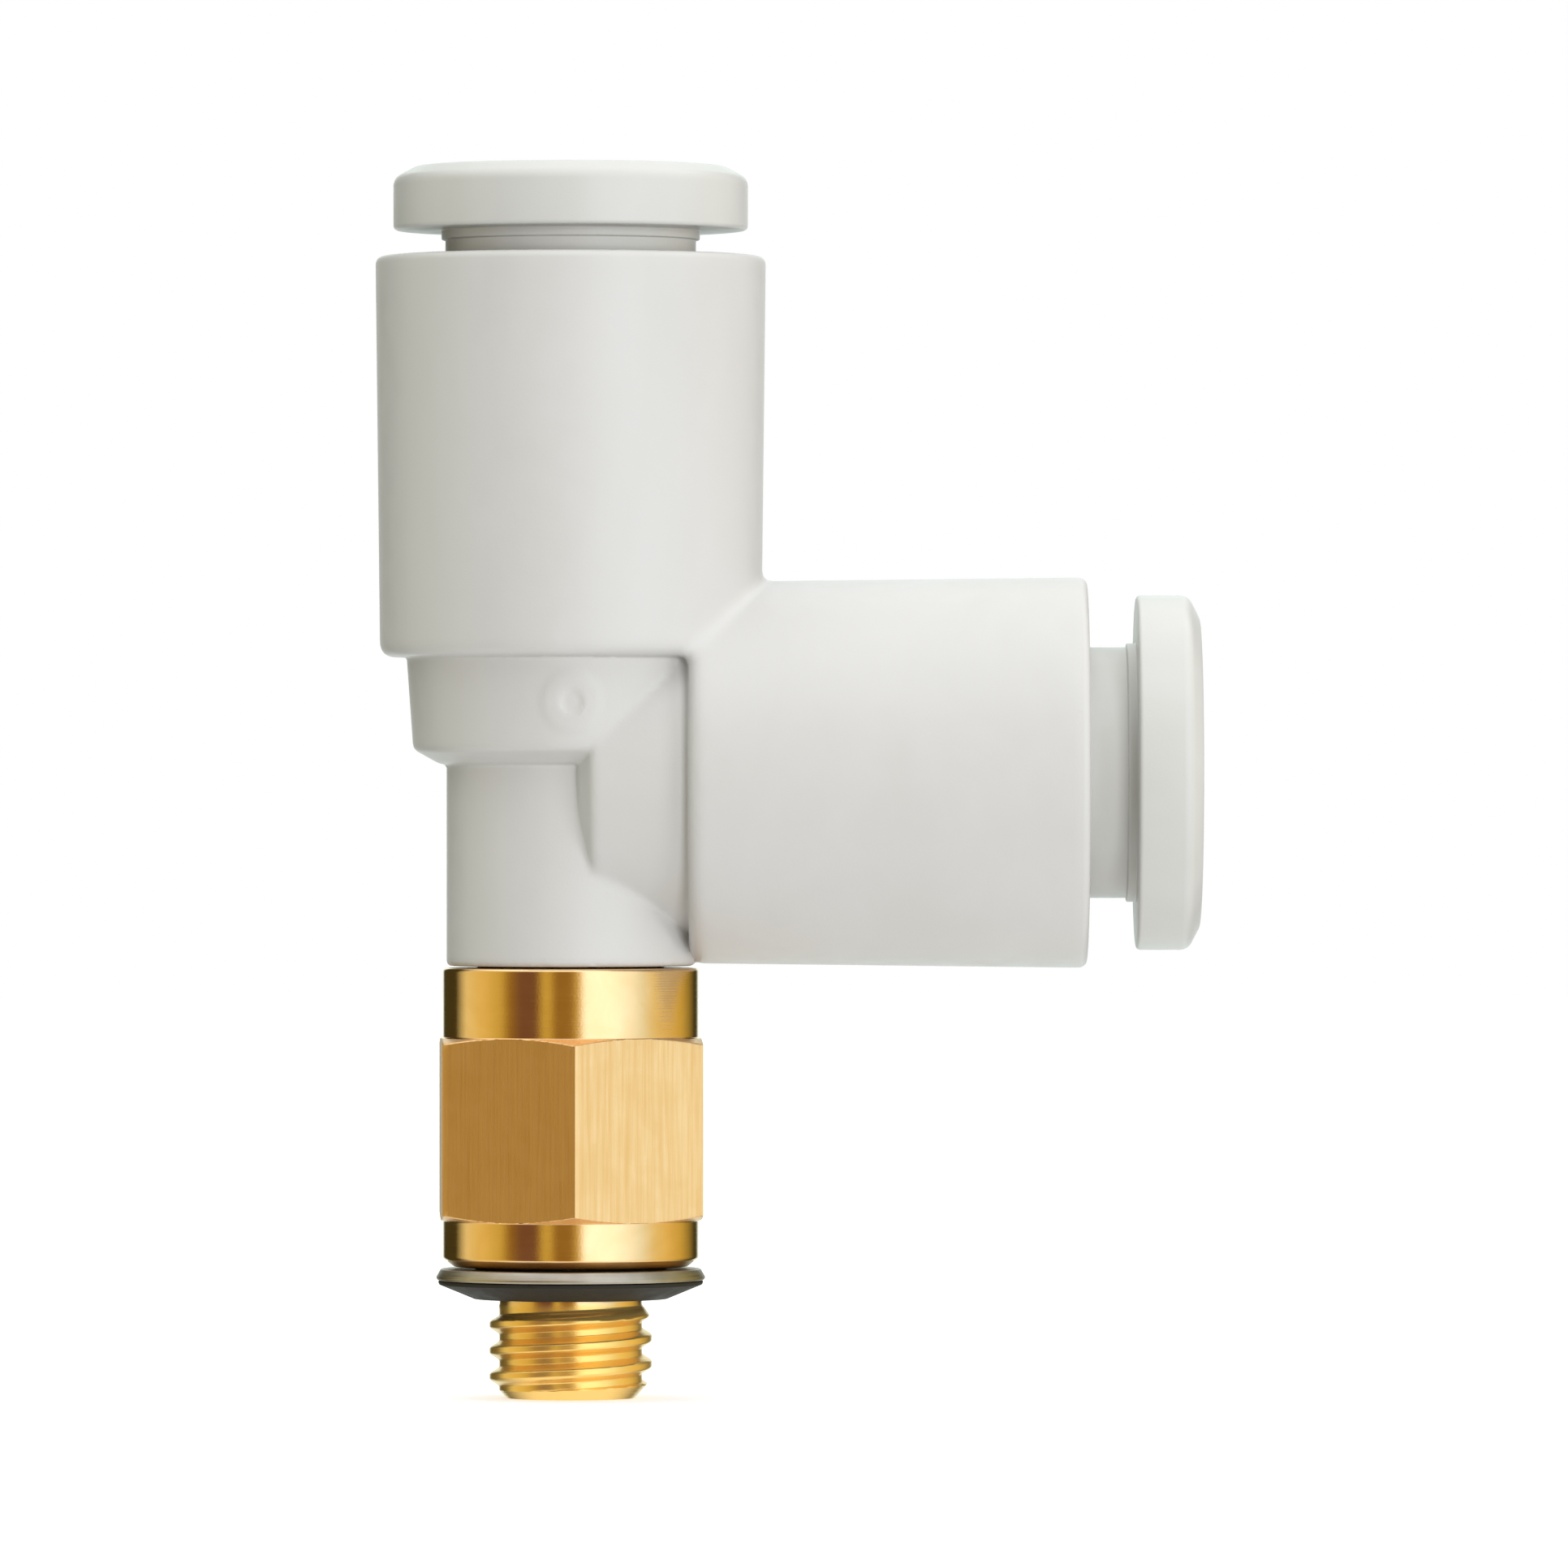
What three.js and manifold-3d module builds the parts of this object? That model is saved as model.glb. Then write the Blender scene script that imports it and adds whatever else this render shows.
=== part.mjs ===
// Push to connect fitting: male run tee for 6 mm tube with an M5 swivel stud.
// Millimetres, +Z up. The origin is on the stud's axis, in the plane where the gasket seals on the port.
// The run port opens along +Z and the branch port along +X.

import * as THREE from 'three';
import { mergeVertices } from 'three/addons/utils/BufferGeometryUtils.js';
import Module from 'manifold-3d';

const wasm = await Module();
wasm.setup();

// Facets round a turned shape.
const OUTER_FACETS = 32;
const INNER_FACETS = 24;
const THREAD_FACETS = 24;

// Stud: heights up the run axis, from the gasket's sealing plane.
const THREAD_END_Z = -3.05;
const THREAD_TOP_Z = -0.15;
const THREAD_MAJOR_R = 2.5;
const THREAD_MINOR_R = 2.05;
const THREAD_PITCH = 0.8;
const THREAD_LEVELS = 20;
const STUD_PASSAGE_R = 1.2;
const LOWER_COLLAR_Z = 1.0;
const LOWER_COLLAR_R = 3.95;
const HEX_LOW_Z = 2.42;
const HEX_HIGH_Z = 8.05;
const HEX_ACROSS_FLATS = 8.0;
const HEX_CHAMFER = 0.2;
const HEX_TURN = THREE.MathUtils.degToRad(2.6);
const UPPER_COLLAR_R = 3.95;
const UPPER_COLLAR_TOP_Z = 10.2;
const SPIGOT_R = 2.85;
const SPIGOT_TOP_Z = 14.15;
const CLIP_GROOVE_R = 2.35;
const CLIP_GROOVE_Z = 11.2;
const CLIP_GROOVE_HEIGHT = 0.7;
const RING_GROOVE_R = 2.15;
const RING_GROOVE_Z = 12.5;
const RING_GROOVE_HEIGHT = 0.8;

// Retaining clip and O-ring between the stud's spigot and the body's neck.
const CLIP_INNER_R = 2.45;
const CLIP_OUTER_R = 3.15;
const CLIP_THICKNESS = 0.5;
const CLIP_GAP = 1.6;
const O_RING_SECTION_R = 0.36;
const O_RING_CENTRE_R = 2.54;

// Gasket.
const GASKET_OUTER_R = 4.15;
const GASKET_BORE_R = 2.65;
const GASKET_METAL_Z = 0.56;
const GASKET_METAL_TOP_Z = 0.93;
const GASKET_TOP_Z = 0.97;

// Body: both ports' axes cross here.
const CROSSING_Z = 16.2;
const NECK_R = 3.82;
const NECK_BOTTOM = -5.95;
const NECK_BORE_R = 2.95;
const NECK_BORE_TOP = -1.9;
const NECK_GROOVE_R = 3.25;
const PASSAGE_R = 1.8;

// Port: distances outward from the crossing.
const STEP_START = 0.25;
const STEP_CHAMFER_END = 0.72;
const STEP_START_R = 4.0;
const STEP_LOW_R = 4.85;
const STEP_HIGH_R = 5.05;
const SHELL_START = 3.55;
const SHELL_ROUNDING = 0.5;
const SHELL_LOW_R = 5.87;
const SHELL_MOUTH_R = 6.02;
const MOUTH = 15.9;
const MOUTH_CHAMFER = 0.1;
const TUBE_STOP = 3.95;
const TUBE_SOCKET_R = 3.08;
const SEAL_BORE_START = 6.9;
const SEAL_BORE_R = 4.35;
const GUIDE_BORE_START = 9.9;
const GUIDE_BORE_R = 5.05;

// Tube seal, spacer, chuck and collet, in order from the tube's end outward.
const SEAL_OUTER_R = 4.28;
const SEAL_LIP_R = 2.95;
const SEAL_START = 7.0;
const SEAL_END = 8.7;
const SPACER_START = 8.78;
const SPACER_END = 9.2;
const SPACER_INNER_R = 3.15;
const CHUCK_OUTER_R = 4.98;
const CHUCK_START = 9.97;
const CHUCK_THICKNESS = 0.2;
const CHUCK_TOOTH_R = 2.97;
const CHUCK_TEETH = 10;
const CHUCK_SLOT = 0.5;
const COLLET_START = 10.25;
const COLLET_END = 11.25;
const COLLET_INNER_R = 3.98;
const COLLET_FINGERS = 8;
const COLLET_SLOT = 0.4;

// Guide ring pressed into the mouth.
const GUIDE_START = 11.3;
const GUIDE_SHOULDER = 13.3;
const GUIDE_END = 15.85;
const GUIDE_OUTER_R = 5.0;
const GUIDE_INNER_R = 3.95;
const GUIDE_COUNTERBORE_R = 4.45;

// Release button: distances from the inner face of its flange, outward positive.
const BUTTON_BORE_R = 3.15;
const BUTTON_ENTRY_R = 3.6;
const BUTTON_ENTRY_DEPTH = 0.45;
const FLANGE_R = 5.46;
const FLANGE_THICKNESS = 2.0;
const FLANGE_ROUNDING = 0.5;
const FLANGE_UNDER_CHAMFER = 0.1;
const BAND_R = 3.98;
const BAND_HEIGHT = 0.3;
const SLEEVE_R = 3.86;
const LIP_R = 4.35;
const LIP_TOP = -4.15;
const LIP_BOTTOM = -4.45;
const LIP_CHAMFER = 0.15;
const NOSE_R = 3.45;
const NOSE_START = -5.6;
const NOSE_END = -6.15;
const SPLIT_TOP = -2.6;
const SPLIT_WIDTH = 0.5;
const SPLITS = 4;

// Gap between each flange and its mouth at rest: the run button has settled part of the way in.
const RUN_GAP = 0.8;
const BRANCH_GAP = 1.5;

// Closed meshes and solids ---------------------------------------------------------------------------

/** A manifold solid from a closed three.js geometry. */
function toSolid(geometry) {
  const bare = new THREE.BufferGeometry();
  bare.setAttribute('position', geometry.getAttribute('position').clone());
  bare.setIndex(geometry.getIndex());
  const merged = mergeVertices(bare, 1e-5);
  const corners = merged.getIndex().array;
  const kept = [];
  for (let i = 0; i < corners.length; i += 3) {
    const [a, b, c] = [corners[i], corners[i + 1], corners[i + 2]];
    if (a !== b && b !== c && c !== a) kept.push(a, b, c);
  }
  const mesh = new wasm.Mesh({
    numProp: 3,
    vertProperties: Float32Array.from(merged.getAttribute('position').array),
    triVerts: Uint32Array.from(kept),
  });
  return new wasm.Manifold(mesh);
}

/** A three.js geometry from a manifold solid. */
function toGeometry(solid) {
  const mesh = solid.getMesh();
  const geometry = new THREE.BufferGeometry();
  geometry.setAttribute('position', new THREE.BufferAttribute(Float32Array.from(mesh.vertProperties), 3));
  geometry.setIndex(new THREE.BufferAttribute(Uint32Array.from(mesh.triVerts), 1));
  geometry.computeVertexNormals();
  return geometry;
}

/** A solid turned about +Z from [radius, height] points, which run anticlockwise and close on themselves. */
function turned(points, facets = OUTER_FACETS) {
  const outline = [...points, points[0]].map(([radius, height]) => new THREE.Vector2(radius, height));
  const geometry = new THREE.LatheGeometry(outline, facets);
  geometry.rotateX(Math.PI / 2);
  return toSolid(geometry);
}

/** Points of a quarter round from [r0, h0] to [r1, h1], leaving along the height or along the radius. */
function quarterRound([r0, h0], [r1, h1], leavesAlongRadius, steps = 3) {
  const points = [];
  for (let i = 0; i <= steps; i += 1) {
    const angle = (i / steps) * (Math.PI / 2);
    const early = Math.sin(angle);
    const late = 1 - Math.cos(angle);
    const radiusShare = leavesAlongRadius ? early : late;
    const heightShare = leavesAlongRadius ? late : early;
    points.push([r0 + (r1 - r0) * radiusShare, h0 + (h1 - h0) * heightShare]);
  }
  return points;
}

/** The solid with evenly spaced radial slots, each cut from one side of the axis. */
function slotted(solid, count, width, innerR, outerR, low, high) {
  let result = solid;
  for (let i = 0; i < count; i += 1) {
    const cutter = new THREE.BoxGeometry(outerR - innerR, width, high - low);
    cutter.translate((innerR + outerR) / 2, 0, (low + high) / 2);
    cutter.rotateZ((i / count) * 2 * Math.PI);
    result = result.subtract(toSolid(cutter));
  }
  return result;
}

// Materials ------------------------------------------------------------------------------------------

function finish(color, roughness, metalness) {
  return () => new THREE.MeshStandardMaterial({ color, roughness, metalness });
}

const bodyResin = finish('#d2d1cb', 0.45, 0);
const buttonResin = finish('#cfd0cb', 0.4, 0);
const turnedBrass = finish('#d3a558', 0.28, 1);
const stainless = finish('#c4c6c8', 0.3, 1);
const blackRubber = finish('#1c1c1d', 0.75, 0);
const naturalResin = finish('#e4e2da', 0.5, 0);
const plated = finish('#c9c6be', 0.25, 1);

/** Adds a named mesh to a group. */
function add(group, name, solid, material) {
  const mesh = new THREE.Mesh(toGeometry(solid), material());
  mesh.name = name;
  group.add(mesh);
}

// Body -----------------------------------------------------------------------------------------------

/** The outside of one port, along +Z from the crossing. */
function portOutside() {
  return turned([
    [0, STEP_START],
    [STEP_START_R, STEP_START],
    [STEP_LOW_R, STEP_CHAMFER_END],
    [STEP_HIGH_R, SHELL_START],
    ...quarterRound(
      [SHELL_LOW_R - SHELL_ROUNDING, SHELL_START],
      [SHELL_LOW_R, SHELL_START + SHELL_ROUNDING],
      true,
    ),
    [SHELL_MOUTH_R, MOUTH - MOUTH_CHAMFER],
    [SHELL_MOUTH_R - MOUTH_CHAMFER, MOUTH],
    [0, MOUTH],
  ]);
}

/** The hollow of one port: air passage, tube socket, seal bore and the bore for the guide ring. */
function portInside() {
  return turned([
    [0, 0],
    [PASSAGE_R, 0],
    [PASSAGE_R, TUBE_STOP],
    [TUBE_SOCKET_R, TUBE_STOP],
    [TUBE_SOCKET_R, SEAL_BORE_START],
    [SEAL_BORE_R, SEAL_BORE_START],
    [SEAL_BORE_R, GUIDE_BORE_START],
    [GUIDE_BORE_R, GUIDE_BORE_START],
    [GUIDE_BORE_R, MOUTH + 1],
    [0, MOUTH + 1],
  ]);
}

function neckOutside() {
  const bevel = 0.15;
  return turned([
    [0, NECK_BOTTOM],
    [NECK_R - bevel, NECK_BOTTOM],
    [NECK_R, NECK_BOTTOM + bevel],
    [NECK_R, STEP_START + 0.2],
    [0, STEP_START + 0.2],
  ]);
}

/** The neck's bore for the stud's spigot, with the groove that holds the retaining clip. */
function neckInside() {
  const grooveLow = CLIP_GROOVE_Z - CROSSING_Z;
  const grooveHigh = grooveLow + CLIP_GROOVE_HEIGHT;
  return turned([
    [0, NECK_BOTTOM - 1],
    [NECK_BORE_R, NECK_BOTTOM - 1],
    [NECK_BORE_R, grooveLow],
    [NECK_GROOVE_R, grooveLow],
    [NECK_GROOVE_R, grooveHigh],
    [NECK_BORE_R, grooveHigh],
    [NECK_BORE_R, NECK_BORE_TOP],
    [PASSAGE_R, NECK_BORE_TOP],
    [PASSAGE_R, 1],
    [0, 1],
  ]);
}

/** Turns a solid made along +Z so that it runs along +X. */
function alongX(solid) {
  return solid.rotate([0, 90, 0]);
}

function bodySolid() {
  const outside = portOutside().add(alongX(portOutside())).add(neckOutside());
  const inside = portInside().add(alongX(portInside())).add(neckInside());
  return outside.subtract(inside);
}

// Stud, gasket, clip and O-ring ----------------------------------------------------------------------

/** Right-handed thread: a finely levelled rod whose radius follows the helix, chamfered at the free end. */
function threadSolid() {
  const height = THREAD_TOP_Z - THREAD_END_Z;
  const levels = [[0, THREAD_END_Z]];
  for (let i = 0; i <= THREAD_LEVELS; i += 1) {
    levels.push([1, THREAD_END_Z + (height * i) / THREAD_LEVELS]);
  }
  levels.push([0, THREAD_TOP_Z]);
  const outline = levels.map(([radius, z]) => new THREE.Vector2(radius, z));
  const geometry = new THREE.LatheGeometry(outline, THREAD_FACETS);
  geometry.rotateX(Math.PI / 2);
  const position = geometry.getAttribute('position');
  for (let i = 0; i < position.count; i += 1) {
    const [x, y, z] = [position.getX(i), position.getY(i), position.getZ(i)];
    if (Math.hypot(x, y) > 0.5) {
      const turn = Math.atan2(y, x) / (2 * Math.PI);
      const phase = THREE.MathUtils.euclideanModulo(z / THREAD_PITCH - turn, 1);
      const ridge = THREE.MathUtils.clamp(1.5 - Math.abs(phase - 0.5) * 3.6, 0, 1);
      const taper = Math.min(1, (z - THREAD_END_Z) / 0.5, (THREAD_TOP_Z - z) / 0.3);
      const radius = THREAD_MINOR_R + (THREAD_MAJOR_R - THREAD_MINOR_R) * ridge * taper;
      position.setXYZ(i, x * radius, y * radius, z);
    }
  }
  return toSolid(geometry);
}

/** The hexagon with both ends' corners turned off. */
function hexSolid() {
  const cornerR = HEX_ACROSS_FLATS / 2 / Math.cos(Math.PI / 6);
  const endR = HEX_ACROSS_FLATS / 2 + 0.1;
  const prism = new THREE.CylinderGeometry(cornerR, cornerR, HEX_HIGH_Z - HEX_LOW_Z, 6);
  prism.rotateX(Math.PI / 2);
  prism.translate(0, 0, (HEX_LOW_Z + HEX_HIGH_Z) / 2);
  prism.rotateZ(HEX_TURN);
  const envelope = turned([
    [0, HEX_LOW_Z],
    [endR, HEX_LOW_Z],
    [cornerR + 0.05, HEX_LOW_Z + HEX_CHAMFER],
    [cornerR + 0.05, HEX_HIGH_Z - HEX_CHAMFER],
    [endR, HEX_HIGH_Z],
    [0, HEX_HIGH_Z],
  ]);
  return toSolid(prism).intersect(envelope);
}

function studSolid() {
  const edge = 0.1;
  const collarChamfer = 0.35;
  const turnedPart = turned([
    [0, THREAD_TOP_Z - 0.3],
    [THREAD_MINOR_R, THREAD_TOP_Z - 0.3],
    [THREAD_MINOR_R, LOWER_COLLAR_Z],
    [LOWER_COLLAR_R - collarChamfer, LOWER_COLLAR_Z],
    [LOWER_COLLAR_R, LOWER_COLLAR_Z + 0.25],
    [LOWER_COLLAR_R, HEX_LOW_Z + 0.1],
    [LOWER_COLLAR_R - edge, HEX_LOW_Z + 0.3],
    [UPPER_COLLAR_R - edge, HEX_HIGH_Z - 0.3],
    [UPPER_COLLAR_R, HEX_HIGH_Z - 0.1],
    [UPPER_COLLAR_R, UPPER_COLLAR_TOP_Z - edge],
    [UPPER_COLLAR_R - edge, UPPER_COLLAR_TOP_Z],
    [SPIGOT_R, UPPER_COLLAR_TOP_Z],
    [SPIGOT_R, CLIP_GROOVE_Z],
    [CLIP_GROOVE_R, CLIP_GROOVE_Z],
    [CLIP_GROOVE_R, CLIP_GROOVE_Z + CLIP_GROOVE_HEIGHT],
    [SPIGOT_R, CLIP_GROOVE_Z + CLIP_GROOVE_HEIGHT],
    [SPIGOT_R, RING_GROOVE_Z],
    [RING_GROOVE_R, RING_GROOVE_Z],
    [RING_GROOVE_R, RING_GROOVE_Z + RING_GROOVE_HEIGHT],
    [SPIGOT_R, RING_GROOVE_Z + RING_GROOVE_HEIGHT],
    [SPIGOT_R, SPIGOT_TOP_Z - 0.2],
    [SPIGOT_R - 0.2, SPIGOT_TOP_Z],
    [0, SPIGOT_TOP_Z],
  ], INNER_FACETS);
  const passage = turned([
    [0, THREAD_END_Z - 1],
    [STUD_PASSAGE_R, THREAD_END_Z - 1],
    [STUD_PASSAGE_R, SPIGOT_TOP_Z + 1],
    [0, SPIGOT_TOP_Z + 1],
  ], THREAD_FACETS);
  return turnedPart.add(hexSolid()).add(threadSolid()).subtract(passage);
}

/** Open ring of flat wire that sits in both grooves. */
function clipSolid() {
  const low = CLIP_GROOVE_Z + (CLIP_GROOVE_HEIGHT - CLIP_THICKNESS) / 2;
  const ring = turned([
    [CLIP_INNER_R, low],
    [CLIP_OUTER_R, low],
    [CLIP_OUTER_R, low + CLIP_THICKNESS],
    [CLIP_INNER_R, low + CLIP_THICKNESS],
  ], INNER_FACETS);
  return slotted(ring, 1, CLIP_GAP, 1, CLIP_OUTER_R + 1, low - 1, low + 2);
}

function oRingSolid() {
  const centreZ = RING_GROOVE_Z + RING_GROOVE_HEIGHT / 2;
  const section = [];
  for (let i = 0; i < 8; i += 1) {
    const angle = (i / 8) * 2 * Math.PI;
    section.push([
      O_RING_CENTRE_R + O_RING_SECTION_R * Math.cos(angle),
      centreZ + O_RING_SECTION_R * Math.sin(angle),
    ]);
  }
  return turned(section, INNER_FACETS);
}

function gasketWasherSolid() {
  const innerR = GASKET_BORE_R + 0.35;
  return turned([
    [innerR, GASKET_METAL_Z],
    [GASKET_OUTER_R, GASKET_METAL_Z],
    [GASKET_OUTER_R, GASKET_METAL_TOP_Z - 0.06],
    [GASKET_OUTER_R - 0.06, GASKET_METAL_TOP_Z],
    [innerR, GASKET_METAL_TOP_Z],
  ], INNER_FACETS);
}

/** Rubber moulded through the washer's hole, with a tapered lip on the port side. */
function gasketSealSolid() {
  const throatR = GASKET_BORE_R + 0.3;
  const lipTop = GASKET_METAL_Z - 0.05;
  return turned([
    [GASKET_BORE_R, 0],
    [GASKET_BORE_R + 0.35, 0],
    [GASKET_OUTER_R - 0.05, lipTop],
    [throatR, lipTop],
    [throatR, GASKET_TOP_Z],
    [GASKET_BORE_R, GASKET_TOP_Z],
  ], INNER_FACETS);
}

// Port pieces, along +Z from the crossing ------------------------------------------------------------

function tubeSealSolid() {
  return turned([
    [SEAL_OUTER_R, SEAL_START],
    [SEAL_OUTER_R, SEAL_END],
    [SEAL_LIP_R + 0.17, SEAL_END],
    [SEAL_LIP_R + 0.15, SEAL_END - 0.5],
    [SEAL_LIP_R, SEAL_START + 0.3],
    [SEAL_LIP_R + 0.2, SEAL_START + 0.05],
    [SEAL_LIP_R + 0.5, SEAL_START + 0.75],
    [SEAL_OUTER_R - 0.53, SEAL_START + 0.75],
    [SEAL_OUTER_R - 0.33, SEAL_START],
  ], INNER_FACETS);
}

function sealSpacerSolid() {
  return turned([
    [SPACER_INNER_R, SPACER_START],
    [SEAL_OUTER_R, SPACER_START],
    [SEAL_OUTER_R, SPACER_END],
    [SPACER_INNER_R, SPACER_END],
  ], INNER_FACETS);
}

/** Flat rim and a ring of teeth that lean in towards the tube's end. */
function chuckSolid() {
  const rimInnerR = 4.3;
  const toothDrop = 0.75;
  const disc = turned([
    [rimInnerR + 0.1, CHUCK_START],
    [CHUCK_OUTER_R, CHUCK_START],
    [CHUCK_OUTER_R, CHUCK_START + CHUCK_THICKNESS],
    [rimInnerR, CHUCK_START + CHUCK_THICKNESS],
    [CHUCK_TOOTH_R, CHUCK_START + CHUCK_THICKNESS - toothDrop],
    [CHUCK_TOOTH_R + 0.08, CHUCK_START + CHUCK_THICKNESS - toothDrop - 0.13],
  ], INNER_FACETS);
  return slotted(disc, CHUCK_TEETH, CHUCK_SLOT, 2, rimInnerR - 0.15, 8, 11);
}

/** Ring over the chuck's rim, with a slotted inner band round the button's nose. */
function colletSolid() {
  const rimInnerR = 4.45;
  const bandStart = COLLET_START + 0.25;
  const ring = turned([
    [rimInnerR, COLLET_START],
    [CHUCK_OUTER_R, COLLET_START],
    [CHUCK_OUTER_R, COLLET_END],
    [COLLET_INNER_R, COLLET_END],
    [COLLET_INNER_R, bandStart],
    [rimInnerR, bandStart],
  ], OUTER_FACETS);
  return slotted(ring, COLLET_FINGERS, COLLET_SLOT, 3, rimInnerR + 0.15, COLLET_START - 1, COLLET_END + 1);
}

function guideRingSolid() {
  return turned([
    [GUIDE_COUNTERBORE_R, GUIDE_START],
    [GUIDE_OUTER_R, GUIDE_START],
    [GUIDE_OUTER_R, GUIDE_END - 0.1],
    [GUIDE_OUTER_R - 0.1, GUIDE_END],
    [GUIDE_INNER_R + 0.25, GUIDE_END],
    [GUIDE_INNER_R, GUIDE_END - 0.35],
    [GUIDE_INNER_R, GUIDE_SHOULDER],
    [GUIDE_COUNTERBORE_R, GUIDE_SHOULDER],
  ]);
}

/** Push ring with a long split sleeve, a snap lip behind the guide ring and a tapered nose. */
function releaseButtonSolid(gap) {
  const button = turned([
    [BUTTON_BORE_R, NOSE_END],
    [NOSE_R, NOSE_END],
    [SLEEVE_R, NOSE_START],
    [SLEEVE_R, LIP_BOTTOM - LIP_CHAMFER],
    [LIP_R, LIP_BOTTOM],
    [LIP_R, LIP_TOP],
    [SLEEVE_R, LIP_TOP],
    [SLEEVE_R, -BAND_HEIGHT],
    [BAND_R, -BAND_HEIGHT],
    [BAND_R, 0],
    [FLANGE_R - FLANGE_UNDER_CHAMFER, 0],
    [FLANGE_R, FLANGE_UNDER_CHAMFER],
    ...quarterRound(
      [FLANGE_R, FLANGE_THICKNESS - FLANGE_ROUNDING],
      [FLANGE_R - FLANGE_ROUNDING, FLANGE_THICKNESS],
      false,
    ),
    [BUTTON_ENTRY_R, FLANGE_THICKNESS],
    [BUTTON_BORE_R, FLANGE_THICKNESS - BUTTON_ENTRY_DEPTH],
  ]);
  const split = slotted(button, SPLITS, SPLIT_WIDTH, 2.5, LIP_R + 0.5, NOSE_END - 1, SPLIT_TOP);
  return split.translate([0, 0, MOUTH + gap]);
}

/** One port's cartridge and button, in a group whose +Z is the port's axis. */
function port(label, gap) {
  const group = new THREE.Group();
  add(group, `${label}_tube_seal`, tubeSealSolid(), blackRubber);
  add(group, `${label}_seal_spacer`, sealSpacerSolid(), naturalResin);
  add(group, `${label}_chuck`, chuckSolid(), stainless);
  add(group, `${label}_collet`, colletSolid(), naturalResin);
  add(group, `${label}_guide_ring`, guideRingSolid(), plated);
  add(group, `${label}_release_button`, releaseButtonSolid(gap), buttonResin);
  group.position.z = CROSSING_Z;
  return group;
}

// Assembly -------------------------------------------------------------------------------------------

const fitting = new THREE.Group();

const tee = new THREE.Group();
tee.position.z = CROSSING_Z;
add(tee, 'body', bodySolid(), bodyResin);
fitting.add(tee);

add(fitting, 'stud', studSolid(), turnedBrass);
add(fitting, 'stud_retaining_clip', clipSolid(), stainless);
add(fitting, 'stud_o_ring', oRingSolid(), blackRubber);
add(fitting, 'gasket_washer', gasketWasherSolid(), stainless);
add(fitting, 'gasket_seal', gasketSealSolid(), blackRubber);

fitting.add(port('run', RUN_GAP));

const branch = port('branch', BRANCH_GAP);
branch.rotation.y = Math.PI / 2;
fitting.add(branch);

export default fitting;
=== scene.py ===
"""Looks for the push to connect fitting: a male run tee for 6 mm tube on an M5 swivel stud.

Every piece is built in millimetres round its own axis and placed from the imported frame. The body's frame has
its origin where the two port axes cross. A port's frame has +Z along the port, out of its mouth.
"""

import math

import bmesh
import bpy
import numpy as np
from mathutils import Matrix, Vector


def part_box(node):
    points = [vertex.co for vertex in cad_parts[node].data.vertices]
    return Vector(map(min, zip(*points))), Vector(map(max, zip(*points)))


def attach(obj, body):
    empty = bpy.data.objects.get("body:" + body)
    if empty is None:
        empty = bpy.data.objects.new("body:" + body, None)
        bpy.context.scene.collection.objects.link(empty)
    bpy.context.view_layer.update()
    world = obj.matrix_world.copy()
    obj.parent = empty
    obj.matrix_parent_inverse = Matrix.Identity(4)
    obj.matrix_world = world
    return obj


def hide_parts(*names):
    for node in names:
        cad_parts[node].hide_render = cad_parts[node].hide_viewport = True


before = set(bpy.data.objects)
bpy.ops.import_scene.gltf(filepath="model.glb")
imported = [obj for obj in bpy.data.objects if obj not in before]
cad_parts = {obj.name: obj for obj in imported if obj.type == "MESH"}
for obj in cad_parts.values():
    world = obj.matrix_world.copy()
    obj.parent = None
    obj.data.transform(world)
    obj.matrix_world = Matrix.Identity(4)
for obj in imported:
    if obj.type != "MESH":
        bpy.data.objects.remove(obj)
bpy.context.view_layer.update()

MM = 0.001

# Places and sizes read from the frame, in millimetres.
body_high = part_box("body")[1] / MM
stud_low, stud_high = (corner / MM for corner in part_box("stud"))
guide_low, guide_high = (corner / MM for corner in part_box("branch_guide_ring"))
CROSSING_Z = (guide_low.z + guide_high.z) / 2
MOUTH = body_high.x
SHELL_MOUTH_R = body_high.y - 0.01
GUIDE_END = guide_high.x
GUIDE_START = guide_low.x
GUIDE_OUTER_R = guide_high.y
THREAD_END_Z = stud_low.z
SPIGOT_TOP_Z = stud_high.z

# Body, in its own frame.
RUN_SHELL_START = 3.55
BRANCH_SHELL_START = 3.65
SHELL_LOW_R = 5.87
STEP_START = 0.25
STEP_START_R = 4.0
STEP_CHAMFER_END = 0.72
STEP_LOW_R = 4.85
STEP_HIGH_R = 5.05
NECK_R = 3.82
NECK_BOTTOM = 10.25 - CROSSING_Z
PASSAGE_R = 1.8
TUBE_STOP = 3.95
TUBE_SOCKET_R = 3.08
SEAL_BORE_START = 6.9
SEAL_BORE_R = 4.35
GUIDE_BORE_START = 9.9
GUIDE_BORE_R = 5.05
NECK_BORE_R = 2.95
NECK_BORE_TOP = -1.9
NECK_GROOVE_R = 3.25
GATE_X = 0.1
GATE_Z = 2.15
GATE_PAD_R = 1.0
GATE_PAD_HEIGHT = 0.05
GATE_DIMPLE_R = 0.42
GATE_DIMPLE_DEPTH = 0.07
GATE_SLOPE = 0.16

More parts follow.
